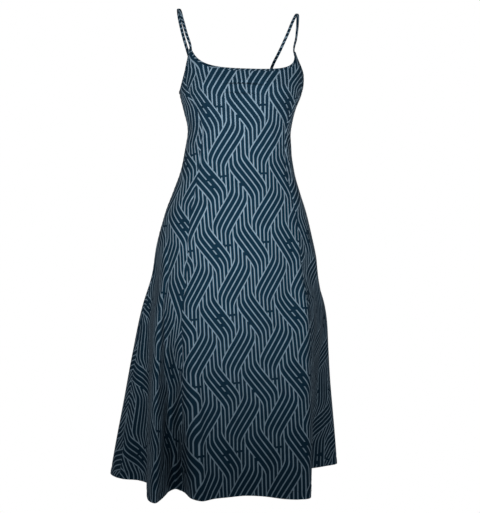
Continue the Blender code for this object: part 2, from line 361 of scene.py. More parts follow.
def printed_cotton(name, dark, pale, roughness):
    """A material for one side of the printed cloth."""
    shader = Shader(name)
    cut = shader.node("ShaderNodeUVMap", {"uv_map": "Cut"}).outputs["UV"]
    parts = shader.node("ShaderNodeSeparateXYZ", None, {"Vector": cut})
    x, y = shader.number(parts.outputs["X"]), shader.number(parts.outputs["Y"])
    ink = plaited_wave(x, y)
    patchy = shader.noise(cut, PATCHES)
    warp = shader.node("ShaderNodeMapping", None, {"Vector": cut, "Scale": (1.0, SLUB_LONG, 1.0)})
    weft = shader.node("ShaderNodeMapping", None, {"Vector": cut, "Scale": (SLUB_LONG, 1.0, 1.0)})
    slub = (shader.noise(warp.outputs[0], SLUBS, 1.0) + shader.noise(weft.outputs[0], SLUBS, 1.0)) * 0.5
    colour = shader.mixed(ink * (INK_COVER + INK_PATCHY * (patchy - 0.5)), dark, pale)
    grey = (TONE + TONE_PATCHY * patchy + TONE_SLUBBY * (slub - 0.5)).between(0.5, 1.4)
    shade = shader.node("ShaderNodeCombineColor", None, {"Red": grey, "Green": grey, "Blue": grey})
    colour = shader.mixed(1.0, colour, shade.outputs[0], "MULTIPLY")
    turn = 2 * math.pi / THREAD_PITCH
    weave = (x * turn).sine() * (y * turn).sine() * 0.5 + slub
    print(name, "has", len(shader.tree.nodes), "nodes before its surface")
    return shader.finished({
        "Base Color": colour,
        "Roughness": roughness - 0.10 * ink + 0.10 * (slub - 0.5),
        "Specular IOR Level": 0.03,
        "Sheen Weight": 0.015,
        "Sheen Roughness": 0.45,
        "Sheen Tint": (0.70, 0.80, 0.90, 1.0),
        "Normal": shader.bump(weave, WEAVE_DEPTH),
    })


right_side = printed_cotton("printed cotton, right side", DARK_INK, PALE_INK, 0.82)
wrong_side = printed_cotton("printed cotton, wrong side", WRONG_DARK, WRONG_PALE, 0.88)
# The bindings and straps use the same cloth with both inks made darker: painted shade on these narrow
# folded strips.
shaded_bias_cloth = printed_cotton(
    "printed cotton on the bias, with painted shade", darker(DARK_INK, 0.80), darker(PALE_INK, 0.85), 0.80)

# %% Thread
THREAD_DYE = (0.010, 0.024, 0.038)
FIBRES = 2500.0
FIBRE_DEPTH = 0.00005


def spun_thread(name):
    """Dyed thread, with a fine grain in its colour and its surface."""
    shader = Shader(name)
    speck = shader.noise(shader.node("ShaderNodeTexCoord").outputs["Object"], FIBRES)
    return shader.finished({
        "Base Color": shader.mixed(speck, darker(THREAD_DYE, 0.85), darker(THREAD_DYE, 1.0)),
        "Roughness": 0.55 + 0.1 * (speck - 0.5),
        "Specular IOR Level": 0.25,
        "Normal": shader.bump(speck, FIBRE_DEPTH),
    })


sewing_thread = spun_thread("dark sewing thread")

# %% [markdown]
# ## The shape of the dress
#
# The dress stands as if it were worn. Every piece lies on one surface, which is given by an
# angle round the body, 0 at the centre front, and by a height. The surface starts from
# sections of the body and is drawn out to a table of folds towards the hem. These are the same
# sizes that made the frame, so each fine piece lies exactly in its plain wall.

# %% Sizes of the body and of the folds
HEM_Z = -1.160
BINDING_WIDE = 0.0060
STRAP_WIDE = 0.0080
STRAP_THICK = 0.0030
FRONT_JOINT = math.radians(57.0)
BACK_JOINT = math.radians(150.0)
UNDERARM = math.radians(93.0)
FRONT_JOINT_Z = -0.108
BACK_JOINT_Z = -0.150
FRONT_NECK_Z = -0.160
BACK_NECK_Z = -0.168
UNDERARM_Z = -0.200
SCOOP_POWER = 3.2
BACK_SCOOP_POWER = 2.4
ARMHOLE_POWER = 2.2
JOINT_HALF_WIDE = STRAP_WIDE / 2
CHEST_RADIUS = 0.110

SECTIONS = np.array([
    # z, left, right, front, back, flat
    (-0.060, 0.137, 0.138, 0.090, 0.094, 0.085),
    (-0.110, 0.141, 0.141, 0.103, 0.104, 0.080),
    (-0.160, 0.150, 0.157, 0.108, 0.108, 0.060),
    (-0.200, 0.152, 0.155, 0.115, 0.106, 0.040),
    (-0.245, 0.142, 0.139, 0.109, 0.099, 0.024),
    (-0.300, 0.131, 0.128, 0.098, 0.091, 0.022),
    (-0.345, 0.138, 0.129, 0.096, 0.089, 0.022),
    (-0.400, 0.149, 0.136, 0.102, 0.098, 0.022),
    (-0.450, 0.167, 0.150, 0.112, 0.114, 0.022),
    (-0.500, 0.186, 0.166, 0.123, 0.130, 0.022),
    (-0.583, 0.205, 0.185, 0.143, 0.150, 0.022),
    (-0.660, 0.212, 0.202, 0.159, 0.164, 0.022),
    (-0.734, 0.229, 0.226, 0.174, 0.177, 0.022),
    (-0.854, 0.244, 0.243, 0.196, 0.194, 0.022),
    (-0.975, 0.256, 0.257, 0.214, 0.208, 0.022),
    (-1.160, 0.272, 0.278, 0.236, 0.226, 0.022),
])
BUST_X = 0.076
BUST_Z = -0.214
BUST_OUT = 0.013
BUST_WIDE = 0.052
BUST_TALL = 0.050

FOLDS = np.array([
    # angle, x, y, top_z
    (-169.0, -0.066, 0.252, -0.66),
    (-157.0, -0.116, 0.192, -0.72),
    (-146.0, -0.182, 0.246, -0.62),
    (-136.0, -0.222, 0.200, -0.66),
    (-127.0, -0.228, 0.152, -0.70),
    (-118.0, -0.276, 0.178, -0.60),
    (-109.0, -0.308, 0.106, -0.50),
    (-101.5, -0.318, 0.042, -0.50),
    (-95.0, -0.292, -0.008, -0.54),
    (-89.0, -0.253, -0.030, -0.58),
    (-84.0, -0.238, -0.072, -0.60),
    (-79.5, -0.248, -0.170, -0.58),
    (-75.0, -0.252, -0.238, -0.56),
    (-71.0, -0.241, -0.270, -0.56),
    (-66.5, -0.226, -0.252, -0.58),
    (-61.0, -0.202, -0.178, -0.64),
    (-55.0, -0.179, -0.138, -0.72),
    (-50.0, -0.166, -0.162, -0.74),
    (-44.0, -0.155, -0.236, -0.72),
    (-37.0, -0.135, -0.270, -0.70),
    (-29.0, -0.106, -0.253, -0.74),
    (-17.0, -0.066, -0.242, -0.80),
    (-5.0, -0.026, -0.234, -0.86),
    (8.0, 0.014, -0.250, -0.82),
    (20.0, 0.050, -0.280, -0.72),
    (31.0, 0.087, -0.291, -0.62),
    (41.0, 0.115, -0.275, -0.54),
    (49.0, 0.134, -0.196, -0.54),
    (60.0, 0.142, -0.082, -0.60),
    (72.0, 0.180, 0.026, -0.62),
    (81.0, 0.228, 0.056, -0.56),
    (91.0, 0.274, 0.086, -0.50),
    (101.0, 0.276, 0.150, -0.56),
    (113.0, 0.212, 0.154, -0.68),
    (125.0, 0.206, 0.212, -0.64),
    (135.0, 0.166, 0.246, -0.60),
    (147.0, 0.106, 0.192, -0.72),
    (160.0, 0.058, 0.250, -0.66),
    (176.0, -0.006, 0.204, -0.74),
])
FOLD_POWER = 1.12

SEAM_Z = np.array([-0.200, -0.225, -0.260, -0.310, -0.380, -0.470, -0.600, -0.800, HEM_Z])
SEAM_ANGLES = {
    "front": np.radians([70.0, 61.0, 55.0, 50.5, 48.0, 45.0, 42.8, 43.4, 50.0]),
    "side": np.radians([94.0, 94.5, 95.0, 95.5, 96.0, 97.0, 98.0, 98.0, 97.0]),
    "back": np.radians([112.0, 122.0, 131.0, 137.0, 139.0, 140.0, 140.0, 140.0, 140.0]),
}
print(len(SECTIONS), "sections and", len(FOLDS), "points of the folds at the hem")


# %% The surface that all the cloth lies on
def cubic(at, places, values):
    """A smooth curve through values at the places, read at other places."""
    slopes = np.gradient(values, places)
    i = np.clip(np.searchsorted(places, at) - 1, 0, len(places) - 2)
    step = places[i + 1] - places[i]
    t = np.clip((at - places[i]) / step, 0.0, 1.0)
    start = (1 + 2 * t) * (1 - t) ** 2 * values[i] + t * (1 - t) ** 2 * step * slopes[i]
    end = t * t * (3 - 2 * t) * values[i + 1] + t * t * (t - 1) * step * slopes[i + 1]
    return start + end


def read_at(z, table):
    """The further columns of a table, read at heights z. Its first column falls from the top."""
    places, *columns = table[::-1].T
    return [cubic(z, places, column) for column in columns]


def body_point(angle, z):
    """A point of the dress with no folds in its skirt."""
    left, right, front, back, flat = read_at(z, SECTIONS)
    across = (np.sin(angle) + flat * np.sin(3 * angle)) / (1 - flat)
    ahead = (np.cos(angle) - flat * np.cos(3 * angle)) / (1 - flat)
    x = np.where(across > 0, right, left) * across
    y = -np.where(ahead > 0, front, back) * ahead
    for side in (-1, 1):
        near = ((x - side * BUST_X) / BUST_WIDE) ** 2 + ((z - BUST_Z) / BUST_TALL) ** 2
        y = y - np.where(ahead > 0, BUST_OUT * np.exp(-near), 0.0)
    return x, y


def around(angle, column):
    """A column of the fold table as a smooth closed curve round the hem."""
    turn = np.concatenate([FOLDS[:, 0] - 360, FOLDS[:, 0], FOLDS[:, 0] + 360])
    return cubic(np.degrees(angle), turn, np.tile(FOLDS[:, column], 3))


def surface(angle, z):
    """Points of the middle of the cloth: the body, drawn out to the folds towards the hem."""
    angle, z = np.broadcast_arrays(np.asarray(angle, float), np.asarray(z, float))
    x, y = body_point(angle, z)
    hem_x, hem_y = body_point(angle, np.full_like(z, HEM_Z))
    top = around(angle, 3)
    share = np.clip((top - z) / (top - HEM_Z), 0.0, 1.0) ** FOLD_POWER
    x = x + share * (around(angle, 1) - hem_x)
    y = y + share * (around(angle, 2) - hem_y)
    x = x + SWAY * np.clip((FRONT_JOINT_Z - z) / 0.05, 0.0, 1.0)
    return np.stack([x, y, z], axis=-1)


def unit(v):
    return v / np.linalg.norm(v, axis=-1, keepdims=True)


def normals(angle, z):
    """Outward normals of the surface."""
    step = 1e-4
    turn = surface(angle + step, z) - surface(angle - step, z)
    rise = surface(angle, z + step) - surface(angle, z - step)
    return unit(np.cross(turn, rise))


def edge_z(angle):
    """Height of the top edge of the finished dress: neckline, armholes and the straps' joints."""
    angle = np.abs((np.asarray(angle, float) + math.pi) % (2 * math.pi) - math.pi)
    flat = JOINT_HALF_WIDE / CHEST_RADIUS
    neck = np.clip(angle / (FRONT_JOINT - flat), 0, 1) ** SCOOP_POWER
    back = np.clip((math.pi - angle) / (math.pi - BACK_JOINT - flat), 0, 1) ** BACK_SCOOP_POWER
    fore = np.clip((UNDERARM - angle) / (UNDERARM - FRONT_JOINT - flat), 0, 1) ** ARMHOLE_POWER
    hind = np.clip((angle - UNDERARM) / (BACK_JOINT - flat - UNDERARM), 0, 1) ** ARMHOLE_POWER
    return np.select(
        [angle <= FRONT_JOINT, angle <= UNDERARM, angle <= BACK_JOINT],
        [
            FRONT_NECK_Z + (FRONT_JOINT_Z - FRONT_NECK_Z) * neck,
            UNDERARM_Z + (FRONT_JOINT_Z - UNDERARM_Z) * fore,
            UNDERARM_Z + (BACK_JOINT_Z - UNDERARM_Z) * hind,
        ],
        BACK_NECK_Z + (BACK_JOINT_Z - BACK_NECK_Z) * back,
    )


def below_edge_z(angle, wide):
    """Height of the curve that runs a given width below the top edge, measured square to it."""
    aside = np.linspace(-wide, wide, 41)
    drop = np.sqrt(wide ** 2 - aside ** 2)
    angle = np.asarray(angle, float)[..., None]
    return (edge_z(angle + aside / CHEST_RADIUS) - drop).min(axis=-1)


print("centre front runs from z", round(float(edge_z(0.0)), 3), "to", HEM_Z)

# %% [markdown]
# ## The six panels
#
# A princess-seamed dress has no waist seam: each panel is one long gore, narrow at the waist
# and wide at the hem. Each gore is a fine grid of points between its two seams, so it could
# also be drawn as a spline patch, but a grid lets its flat cut be measured as it is made. Along a
# seam the cloth is drawn in and puckers a little, and the seam allowance lies doubled inside.
# The hem is turned up and stitched, which makes its last 18 millimetres thicker and stiffer.

# %% Grids of the panels
PANELS = {
    # name: (left side, left seam, right side, right seam, columns)
    "panel_front_centre": (-1, "front", 1, "front", 141),
    "panel_front_side_right": (1, "front", 1, "side", 91),
    "panel_front_side_left": (-1, "side", -1, "front", 105),
    "panel_back_side_right": (1, "side", 1, "back", 71),
    "panel_back_side_left": (-1, "back", -1, "side", 77),
    "panel_back_centre": (1, "back", -1, "back", 121),
}
EDGE_DOWN = np.concatenate([np.linspace(0.0, 0.48, 18), np.linspace(0.495, 0.61, 18),
                            np.linspace(0.64, 0.84, 8), np.linspace(0.86, 0.97, 13)])
BODY_ROWS = 236
CLOTH = 0.0009
HEM_TURN = 0.018
ALLOWANCE = 0.010
ALLOWANCE_TOP_Z = -0.215
DOUBLED = 0.0009
EASE_IN = 0.002
BOUND = 0.004
BOUND_THIN = 0.6
TUCKED_IN = 0.0018
FIRST_LEVEL_Z = -0.225
SEAM_COLUMNS = [0.0, 0.003, 0.007, 0.013]
ABOVE_HEM = 0.024
HEM_ROWS = [HEM_TURN + 0.001, HEM_TURN - 0.001, 0.012, 0.006, 0.0015, 0.0]


def crowded(count, edge):
    """Places from 0 to 1, crowded at both ends so that a seam's roll is drawn finely."""
    inner = np.linspace(edge[-1], 1 - edge[-1], count - 2 * len(edge) + 2)[1:-1]
    return np.concatenate([edge, inner, 1 - np.array(edge)[::-1]])


def seam(name, z):
    """The angle of a seam at height z."""
    return cubic(z, SEAM_Z[::-1], SEAM_ANGLES[name][::-1])


def columns_at(name, z):
    """Angles of a panel's columns at height z."""
    left_side, left_kind, right_side, right_kind, count = PANELS[name]
    left = left_side * seam(left_kind, z)
    right = right_side * seam(right_kind, z)
    if right < left:
        right += 2 * math.pi
    return left + (right - left) * crowded(count, SEAM_COLUMNS)


def grid_of(name):
    """Angles and heights of a panel's grid, from inside its binding down to the hem."""
    top = columns_at(name, SEAM_Z[0])
    level = columns_at(name, FIRST_LEVEL_Z)
    top_z = below_edge_z(top, TUCKED_IN)
    angles = [top + (level - top) * down for down in EDGE_DOWN]
    heights = [top_z + (FIRST_LEVEL_Z - top_z) * down for down in EDGE_DOWN]
    body = np.linspace(FIRST_LEVEL_Z, HEM_Z + ABOVE_HEM, BODY_ROWS)
    for z in np.concatenate([body, HEM_Z + np.array(HEM_ROWS)]):
        angles.append(columns_at(name, z))
        heights.append(np.full(len(top_z), z))
    return np.array(angles), np.array(heights)


def lengths(points):
    """Distance across each row from its left end, and down each column from its top."""
    right = np.linalg.norm(np.diff(points, axis=1), axis=-1)
    down = np.linalg.norm(np.diff(points, axis=0), axis=-1)
    across = np.concatenate([np.zeros((len(points), 1)), np.cumsum(right, axis=1)], axis=1)
    along = np.concatenate([np.zeros((1, points.shape[1])), np.cumsum(down, axis=0)], axis=0)
    return across, along


print("rows in a panel:", grid_of("panel_back_centre")[0].shape[0])

# %% [markdown]
# ### Small forms of the cloth
#
# The folds of the skirt are in the surface itself. What is added here is small: puckers beside
# the seams, three faint creases in the bodice, the pull of the hem stitches, and slow
# unevenness of a millimetre or two that keeps the cloth from looking like sheet metal. Sines of
# unequal lengths do for this, and they give the same result on every run.


# %% Puckers, creases and soft unevenness
CREASES = (
    # height, middle, half its reach across, depth, bow
    (-0.1960, -0.0040, 0.0420, 0.0064, -0.0018),
    (-0.2200, -0.0160, 0.0480, 0.0030, -0.0016),
    (-0.2620, -0.0700, 0.0300, 0.0007, 0.0040),
)
CREASE_REACH = 0.0018
CREASE_LIP = (0.20, 0.0050, 0.0034)  # share of the crease, how far above it, reach
SEAM_REACH = 0.006
ROLL = (0.0011, 0.0016)  # depth, reach
PUCKER = (0.0012, 0.007, 0.0135, 0.05)  # depth, reach, step, length over which the step drifts
SKIRT_SOFT = (-0.42, 0.5, 0.0016, 0.045, 0.22)  # top, growth, depth, waves across and down
WAIST_SOFT = (-0.33, 0.12, 0.0005, 0.018, 0.030)  # middle, reach, depth, waves across and down
HEM_SOFT = (0.008, 0.010, 0.0005, 0.011)  # above the hem, reach, depth, waves across
STITCH_PULL = (0.0006, 0.0022)  # depth, reach


def hill(value, reach):
    """1 where a value is 0, falling away over its reach."""
    return np.exp(-(value / reach) ** 2)


def waver(a, b, seed):
    """A smooth uneven number between about -1 and 1."""
    total = np.zeros(np.broadcast(a, b).shape)
    for k in range(5):
        p = 2.3 + 1.7 * math.sin(seed * 12.9 + k * 4.1)
        q = 2.1 + 1.6 * math.cos(seed * 7.7 + k * 2.7)
        total = total + np.sin(p * a + q * b + seed * 3.1 + k * 1.9) * 0.42
    return total


def small_forms(points, across, along, seed):
    """How far each point moves outwards. Both sides of a seam move alike at the seam."""
    x, z = points[..., 0], points[..., 2]
    from_seam = np.minimum(across, across[:, -1:] - across)
    free = 1.0 - hill(from_seam, SEAM_REACH)
    depth, reach = ROLL
    move = -depth * hill(from_seam, reach)
    depth, reach, step, drift = PUCKER
    uneven = along * 2 * math.pi / step + 2.2 * waver(along / drift, 0.0, seed)
    move = move + depth * free * np.exp(-from_seam / reach) * np.sin(uneven)
    top_z, growth, depth, wide, tall = SKIRT_SOFT
    soft = np.clip((top_z - z) / growth, 0.0, 1.0) * depth * waver(across / wide, z / tall, seed + 1)
    waist_z, reach, depth, wide, tall = WAIST_SOFT
    soft += depth * waver(across / wide, z / tall, seed + 2) * hill(z - waist_z, reach)
    above_hem, reach, depth, wide = HEM_SOFT
    soft += depth * hill(z - HEM_Z - above_hem, reach) * waver(across / wide, 0.0, seed + 3)
    depth, reach = STITCH_PULL
    move = move + soft * free - depth * hill(z - HEM_Z - HEM_TURN, reach)
    lip, lip_above, lip_reach = CREASE_LIP
    front = points[..., 1] < 0
    for crease_z, middle, reach, depth, bow in CREASES:
        line = z - crease_z - bow * ((x - middle) / reach) ** 2
        fade = np.exp(-((x - middle) / reach) ** 4)
        fold = hill(line, CREASE_REACH) - lip * hill(line - lip_above, lip_reach)
        move = move - np.where(front, depth * fade * fold, 0.0)
    return move


# %% [markdown]
# ### How the print lies on each panel
#
# Every gore is cut with its own grain, so the print keeps its upright ribbons in the middle of
# a gore and meets the next gore's print at a slant. The side gores hang on the bias: towards
# the side seams their print leans, and the two sides of a seam meet in chevrons. At the bust
# and the waist the cloth is drawn tight, and its print looks wider there. The front panel's
# rows of print rise a little to the right. In the deep valley beside the left princess seam the
# print is let out. A wrap projected from the front would be shorter than these tables, but it
# would smear the print over the sides of the folds.

# %% Where the print starts on each panel
PRINT_PLACE = {
    # name: grains of ((flat place), (the print's place there), turn in degrees), in repeats
    "panel_front_centre": [((0.0, 0.0), (-0.537, 0.0), 0.0)],
    "panel_front_side_right": [((0.0, 4.40), (0.0, 4.0), -30.0)],
    "panel_front_side_left": [((0.11, 2.22), (0.5, 1.5), 5.0), ((0.05, 1.90), (0.5, 1.5), 18.0)],
    "panel_back_side_right": [((0.0, 4.0), (0.3, 4.2), 20.0)],
    "panel_back_side_left": [((1.5, 3.85), (0.0, 4.3), -30.0)],
    "panel_back_centre": [((0.0, 0.0), (-0.226, 0.25), 0.0)],
}
GRAIN_CHANGE = (-0.3, -2.1)
LET_OUT = {
    # name: (where it starts, towards which side, share), in repeats
    "panel_front_centre": (-1.65, -1, 0.30),
    "panel_front_side_left": (0.15, 1, 0.30),
}
LET_OUT_ROWS = (2.5, 4.5)
PULLED_GRAIN = np.array([
    # z, rows down, repeat's width, pulled across
    (-0.160, -1.09, 0.1080, 0.0093),
    (-0.340, 0.00, 0.1000, 0.0),
    (-0.505, 1.00, 0.0940, 0.0),
    (-0.667, 2.00, 0.0880, 0.0),
    (-0.824, 3.00, 0.0885, -0.0030),
    (-0.977, 4.00, 0.0885, -0.0070),
    (-1.133, 5.00, 0.0930, -0.0060),
    (-1.180, 5.30, 0.0935, -0.0060),
])
GRAIN_LEVEL_Z = -0.340
GRAIN_LEAN = 0.0228
FRONT_WIDER = 0.98
FRONT_PULL = 0.0035
FRONT_RISE = 0.103
FRONT_ROWS = np.array([
    # z, rows further down
    (-0.160, 0.0),
    (-0.340, 0.015),
    (-0.505, 0.010),
    (-0.667, -0.020),
    (-0.824, -0.035),
    (-1.180, -0.035),
])


def eased(value, start, end):
    """From 0 at the start to 1 at the end, gently at both."""
    t = np.clip((value - start) / (end - start), 0.0, 1.0)
    return t * t * (3 - 2 * t)


def turned(flat, angle):
    """Places on the flat cloth, turned by an angle."""
    x, y = flat[..., 0], flat[..., 1]
    return np.stack([x * math.cos(angle) - y * math.sin(angle),
                     x * math.sin(angle) + y * math.cos(angle)], axis=-1)


def unrolled(points, out):
    """The grid rolled out flat: across and down, in metres.

    A direction is carried down the middle column and from there along each row, and is kept
    straight in the cloth. Each step of the grid is then measured along and across it."""
    rows, columns = points.shape[:2]
    middle = columns // 2
    flat = np.zeros((rows, columns, 2))

    def carried(way, normal):
        return unit(way - normal * (way * normal).sum(axis=-1, keepdims=True))

    def step_on(place, step, way, normal):
        square = np.cross(way, normal)
        return place + np.stack([(step * way).sum(axis=-1), (step * square).sum(axis=-1)], axis=-1)

    ways = np.zeros((rows, 3))
    ways[0] = carried(points[0, middle + 1] - points[0, middle - 1], out[0, middle])
    for i in range(1, rows):
        ways[i] = carried(ways[i - 1], out[i, middle])
        flat[i, middle] = step_on(flat[i - 1, middle], points[i, middle] - points[i - 1, middle],
                                  unit(ways[i - 1] + ways[i]), unit(out[i - 1, middle] + out[i, middle]))
    for side in (1, -1):
        way, j = ways, middle
        while 0 <= j + side < columns:
            onward = carried(way, out[:, j + side])
            flat[:, j + side] = step_on(flat[:, j], points[:, j + side] - points[:, j],
                                        unit(way + onward), unit(out[:, j] + out[:, j + side]))
            way, j = onward, j + side
    return flat


def flat_cut(name, points, out):
    """Where each point lies on the flat, printed cloth, in metres."""
    flat = unrolled(points, out)
    z = points[..., 2]
    middle = points.shape[1] // 2
    level = np.argmin(np.abs(z[:, middle] - GRAIN_LEVEL_Z))
    grain = flat[-1, middle] - flat[level, middle]
    flat = turned(flat - flat[level, middle], math.atan2(grain[0], grain[1]))
    rows_down, wide, pull = read_at(z, PULLED_GRAIN)
    down = rows_down[:, middle:middle + 1] * REPEAT_TALL + flat[..., 1] - flat[:, middle:middle + 1, 1]
    across = flat[..., 0] * REPEAT_WIDE / wide - GRAIN_LEAN * down + pull
    if name in LET_OUT:
        start, side, share = LET_OUT[name]
        low = eased(down / REPEAT_TALL, *LET_OUT_ROWS)
        past = across - start * REPEAT_WIDE
        across = np.where(past * side > 0, across - past * share * low, across)
    if name == "panel_front_centre":
        across = across * FRONT_WIDER + FRONT_PULL
        further, = read_at(z, FRONT_ROWS)
        down = down + across * FRONT_RISE + further * REPEAT_TALL
    laid = []
    for flat_place, print_place, turn in PRINT_PLACE[name]:
        from_place = np.stack([across, down], axis=-1) - flat_place * REPEAT
        laid.append(turned(from_place, math.radians(turn)) + print_place * REPEAT)
    change = eased(across / REPEAT_WIDE, *GRAIN_CHANGE)[..., None] if len(laid) > 1 else 0.0
    return laid[0] * (1 - change) + laid[-1] * change


# %% [markdown]
# ### From a grid to a piece of cloth
#
# Cloth has two sides and a cut edge, so each piece is a closed wall: the grid moved out by half
# the cloth's thickness, the grid moved in, and a rim between them. The outer faces carry the
# right side of the print and the inner ones the wrong side.


# %% Closed walls of cloth
SHARP = math.radians(50.0)


def one_side(piece):
    """Area of one side of a piece of cloth."""
    return 0.5 * sum(face.area for face in piece.data.polygons)


def cloth_piece(name, outer, inner, uv_outer, uv_inner, materials, closed=False):
    """A closed wall between two grids. Rows run down and columns run to the right, seen from
    outside. A closed grid joins its last column to its first, and has rims at both ends."""
    rows, columns = outer.shape[:2]
    points = np.concatenate([outer.reshape(-1, 3), inner.reshape(-1, 3)])
    uv = np.concatenate([uv_outer.reshape(-1, 2), uv_inner.reshape(-1, 2)])
    index = np.arange(rows * columns).reshape(rows, columns)
    right = np.roll(index, -1, axis=1) if closed else index[:, 1:]
    left = index if closed else index[:, :-1]
    a, b, c, d = left[:-1], left[1:], right[1:], right[:-1]
    outside = np.stack([a, b, c, d], axis=-1).reshape(-1, 4)
    inside = np.stack([a, d, c, b], axis=-1).reshape(-1, 4) + rows * columns
    edges = [(right[0], left[0]), (left[-1], right[-1])]
    if not closed:
        edges += [(index[:-1, 0], index[1:, 0]), (index[1:, -1], index[:-1, -1])]
    first, last = (np.concatenate([edge[end] for edge in edges]) for end in (0, 1))
    rim = np.stack([last, first, first + rows * columns, last + rows * columns], axis=-1)
    faces = np.concatenate([outside, inside, rim])
    mesh = bpy.data.meshes.new(name)
    mesh.from_pydata(points.tolist(), [], faces.tolist())
    for material in materials:
        mesh.materials.append(material)
    which = np.zeros(len(faces), np.int32)
    which[len(outside):len(outside) + len(inside)] = len(materials) - 1
    mesh.polygons.foreach_set("material_index", which)
    layer = mesh.uv_layers.new(name="Cut")
    loops = np.empty(len(mesh.loops), np.int32)
    mesh.loops.foreach_get("vertex_index", loops)
    layer.data.foreach_set("uv", uv[loops].astype(np.float32).ravel())
    mesh.shade_smooth()
    mesh.set_sharp_from_angle(angle=SHARP)
    piece = bpy.data.objects.new(name, mesh)
    scene.collection.objects.link(piece)
    return piece


def outward(points, edges=None):
    """Normals of a grid, away from the body. Those of the two seams can be given."""
    out = unit(np.cross(np.gradient(points, axis=1), -np.gradient(points, axis=0)))
    if edges is not None:
        out[:, 0], out[:, -1] = edges
    return out


def panel(name, seed):
    """One gore: its fine shape, its doubled edges and its print."""
    angle, z = grid_of(name)
    middle = surface(angle, z)
    across, along = lengths(middle)
    edges = [normals(angle[:, side], z[:, side]) for side in (0, -1)]
    out = outward(middle, edges)
    uv = flat_cut(name, middle, out)
    middle = middle + out * small_forms(middle, across, along, seed)[..., None]
    out = outward(middle, edges)
    from_seam = np.minimum(across, across[:, -1:] - across)
    doubled = np.clip((ALLOWANCE - from_seam) / EASE_IN, 0.0, 1.0) * (z < ALLOWANCE_TOP_Z)
    turned_up = np.where(z < HEM_Z + HEM_TURN, 1.0, 0.0)
    thick = CLOTH / 2 + DOUBLED * np.maximum(doubled, turned_up)
    bound = np.clip((along - BOUND) / BOUND, 0.0, 1.0)
    thick = CLOTH / 2 * (1 - bound) * BOUND_THIN + thick * bound
    piece = cloth_piece(name + "_cloth", middle + out * CLOTH / 2, middle - out * thick[..., None],
                        uv, uv, [right_side, wrong_side])
    width, length = across[:, -1].max(), along[-1].max()
    print(f"{name}: {len(piece.data.polygons)} faces, hem {across[-1, -1]:.3f} m round, "
          f"widest {width:.3f}, longest {length:.3f}, one side {one_side(piece):.4f} m2")
    return piece


pieces = {name: panel(name, seed) for seed, name in enumerate(PANELS)}

# %% [markdown]
# ## The bindings
#
# The neckline and the armholes are finished with a narrow strip of the same cloth, cut on the
# bias and folded over the raw edge, so its section is an upside-down U with the panel inside
# it. A curve with a bevel would make a round cord, so the U is swept along the edge instead.
# The strip's print is turned by 45 degrees, as the bias cut turns it, and the stitches draw it
# in at even steps.

# %% Bias strips folded over the edge
MM = 1e-3
U_OUTSIDE = MM * np.array([
    # down, out
    (6.00, 0.95), (5.85, 1.30), (5.20, 1.38), (3.80, 1.18),
    (2.20, 1.32), (1.00, 1.22), (0.30, 0.85), (0.00, 0.30),
])
U_INSIDE = MM * np.array([
    # down, out
    (6.00, 0.60), (5.70, 0.72), (5.00, 0.72), (3.80, 0.66),
    (2.20, 0.76), (1.20, 0.70), (0.75, 0.48), (0.60, 0.16),
])
BIAS = math.radians(45.0)
EDGE_STEP = 0.0024
JUST_BELOW = 0.003
DRAWN_IN = (0.07, 0.0066)  # share, step
BINDING_PRINT_STEP = 0.013


def distances(points):
    """How far each point of a line is from the first, along the line."""
    return np.concatenate([[0], np.cumsum(np.linalg.norm(np.diff(points, axis=0), axis=1))])


def on_bias(along, across, shift):
    """Where a strip cut at 45 degrees lies on the printed cloth."""
    flat = np.stack(np.broadcast_arrays(along, across), axis=-1)
    return turned(flat, BIAS) + (shift, 0.0)


def edge_path(start, end):
    """Angles at even steps along the top edge, and its length."""
    fine = np.linspace(start, end, 4000)
    run = distances(surface(fine, edge_z(fine)))
    steps = int(run[-1] / EDGE_STEP)
    return np.interp(np.arange(0, steps + 1) / steps * run[-1], run, fine), run[-1]


def smoothed(values, times):
    """A row of directions, each blended with its neighbours."""
    for _ in range(times):
        padded = np.concatenate([values[:1], values, values[-1:]])
        values = unit(padded[:-2] + 2 * padded[1:-1] + padded[2:])
    return values


def edge_frame(start, end):
    """Points of the top edge, directions down into the cloth and outwards, and its length."""
    angle, run = edge_path(start, end)
    points = surface(angle, edge_z(angle))
    along = smoothed(unit(np.gradient(points, axis=0)), 3)
    out = smoothed(normals(angle, edge_z(angle) - JUST_BELOW), 2)
    out = unit(out - along * (out * along).sum(axis=-1, keepdims=True))
    return points, np.cross(along, out), out, run


def binding(name, start, end, seed):
    """A strip folded over a stretch of the top edge."""
    points, down, out, run = edge_frame(start, end)
    at = np.linspace(0, run, len(points))
    share, stitch = DRAWN_IN
    drawn = 1.0 + share * np.sin(at * 2 * math.pi / stitch + waver(at / 0.03, 0.0, seed))
    rings = []
    for section in (U_OUTSIDE, U_INSIDE):
        whole = np.concatenate([section, (section * (1, -1))[::-1]])
        ring = points[:, None] + down[:, None] * whole[None, :, :1]
        rings.append(ring + out[:, None] * whole[None, :, 1:] * drawn[:, None, None])
    outer, inner = [ring.transpose(1, 0, 2) for ring in rings]
    girth = distances(outer[:, 0])
    uv = on_bias(at[None, :], girth[:, None], BINDING_PRINT_STEP * seed)[::-1]
    piece = cloth_piece(name + "_cloth", outer[::-1], inner[::-1], uv, uv, [shaded_bias_cloth])
    print(f"{name}: {run:.3f} m long, strip {girth[-1] / MM:.1f} mm, one side {one_side(piece):.5f} m2")
    return piece


BINDINGS = {
    # name: (start, end)
    "binding_neck_front": (-FRONT_JOINT, FRONT_JOINT),
    "binding_neck_back": (BACK_JOINT, 2 * math.pi - BACK_JOINT),
    "binding_armhole_right": (FRONT_JOINT, BACK_JOINT),
    "binding_armhole_left": (-BACK_JOINT, -FRONT_JOINT),
}
for seed, (name, (start, end)) in enumerate(BINDINGS.items()):
    pieces[name] = binding(name, start, end, seed)

